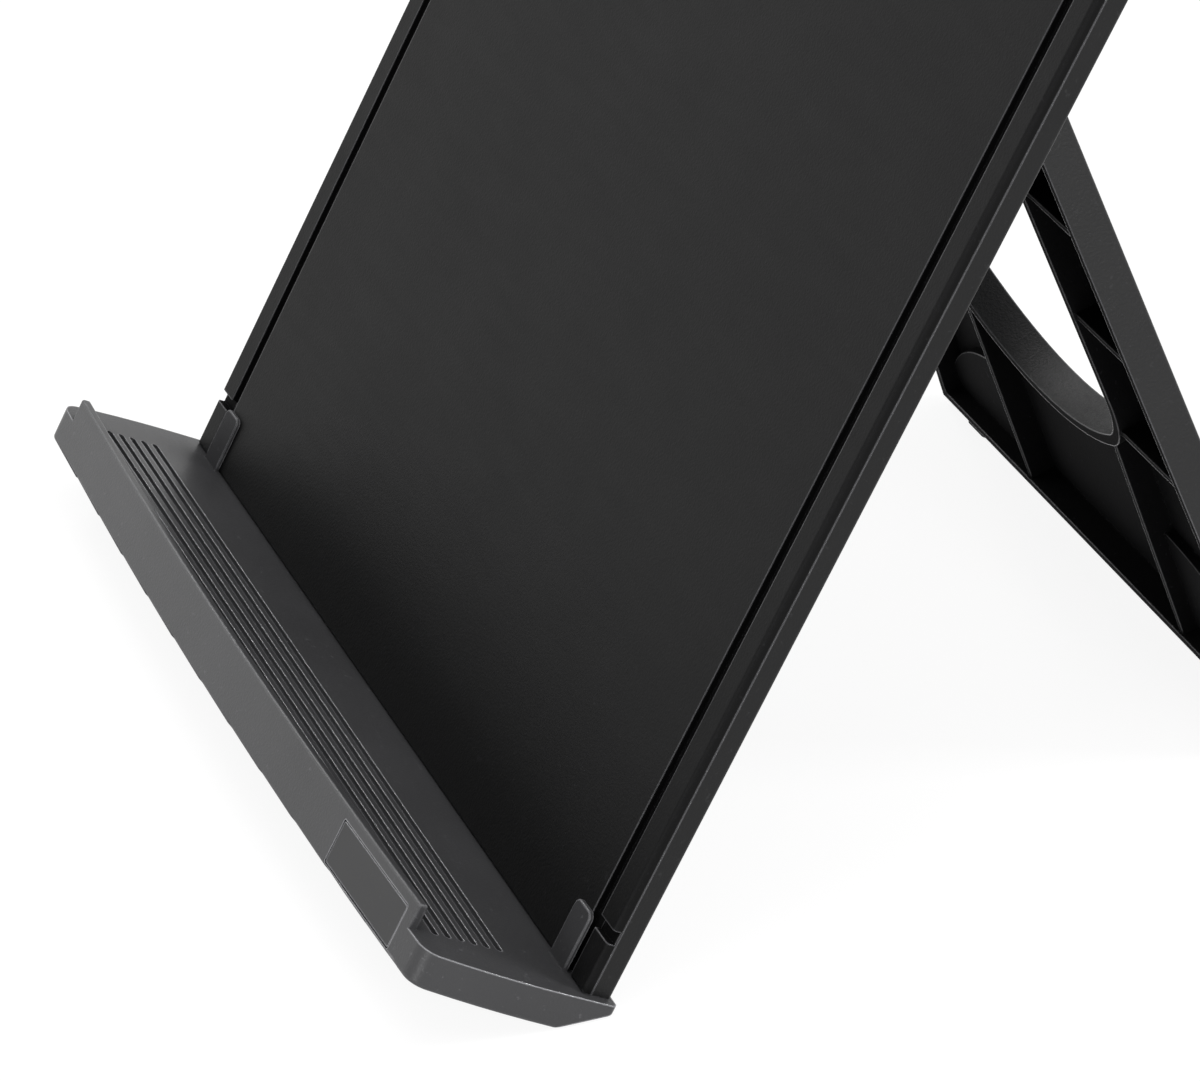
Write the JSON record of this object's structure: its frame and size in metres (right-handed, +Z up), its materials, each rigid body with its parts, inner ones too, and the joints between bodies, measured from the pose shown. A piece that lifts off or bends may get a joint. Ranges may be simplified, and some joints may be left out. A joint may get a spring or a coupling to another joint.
{
  "type": "copy holder",
  "caption": "Thin desktop copy holder on a hinged easel leg, with a lipped and grooved document tray, a sprung sheet clip and a clear line guide that slides on the board's rims.",
  "frame": {"origin": "on the desk, below the middle of the bounding box", "axes": "+Z up from the desk, +X to the user's right, +Y away from the user, so the board faces -Y and leans back"},
  "size_m": [0.2376, 0.2062, 0.2811],
  "materials": {
    "black_face": "satin, moulded",
    "charcoal_shell": "satin, fine grain",
    "charcoal_tray": "satin, fine grain",
    "badge_black": "smooth",
    "screw_steel": "black zinc",
    "bright_steel": "bright zinc",
    "washer_plastic": "natural",
    "grip_rubber": "matt",
    "clear_plastic": "clear, polished"
  },
  "bodies": {
    "board": {"front_shell": "black_face", "rear_shell": "charcoal_shell", "shell_screws": "screw_steel", "document_tray": "charcoal_tray", "blank_badge": "badge_black", "tray_screws": "screw_steel", "heel_grips": "grip_rubber", "hinge_rod": "bright_steel", "hinge_friction_washers": "washer_plastic", "hinge_rod_caps": "charcoal_shell", "clip_base": "bright_steel", "clip_pin": "bright_steel", "clip_screws": "screw_steel", "clip_springs": "bright_steel"},
    "leg": {"easel_leg": "charcoal_shell", "leg_feet": "grip_rubber"},
    "guide": {"left_slider": "charcoal_shell", "right_slider": "charcoal_shell", "clear_guide_bar": "clear_plastic", "guide_bar_screws": "screw_steel", "slider_leaf_springs": "bright_steel"},
    "clip": {"clip_jaw": "charcoal_shell", "clip_jaw_pad": "grip_rubber"}
  },
  "joints": [
    {"name": "leg_hinge", "type": "hinge", "parent": "board", "child": "leg", "pos_m": [0, 0.03568, 0.17472], "axis": [1, 0, 0], "range_deg": [-47.5, 8]},
    {"name": "guide_slide", "type": "slide", "parent": "board", "child": "guide", "axis": [0, 0.471, 0.8821], "range_m": [-0.21, 0]},
    {"name": "clip_hinge", "type": "hinge", "parent": "board", "child": "clip", "pos_m": [0, 0.05383, 0.25118], "axis": [1, 0, 0], "range_deg": [-35, 0], "stiffness_Nm_per_rad": 0.3, "springref_deg": 22.92}
  ]
}
